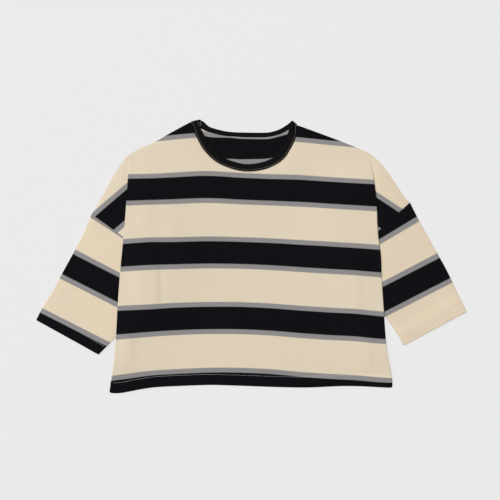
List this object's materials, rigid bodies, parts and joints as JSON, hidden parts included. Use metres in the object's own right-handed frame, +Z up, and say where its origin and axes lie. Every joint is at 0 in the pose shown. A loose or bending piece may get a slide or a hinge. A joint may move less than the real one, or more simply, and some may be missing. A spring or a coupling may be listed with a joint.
{
  "type": "long-sleeve t-shirt",
  "caption": "Boxy cropped striped jersey tee with three-quarter sleeves and a round bound neck, laid flat with its sides tucked in.",
  "frame": {"origin": "middle of the laid garment's width and length, on the surface it lies on", "axes": "+X across the garment towards the right sleeve as laid, +Y towards the neck, +Z up from the surface"},
  "size_m": [0.8246, 0.5247, 0.0081],
  "materials": {
    "jersey": "matte knitted cotton jersey, cream with black bands edged in grey",
    "binding": "matte black rib knit binding, topstitched"
  },
  "bodies": {
    "root": {"front_panel": "jersey", "back_panel": "jersey", "sleeve_left": "jersey", "sleeve_right": "jersey", "neckband": "binding"}
  },
  "joints": []
}
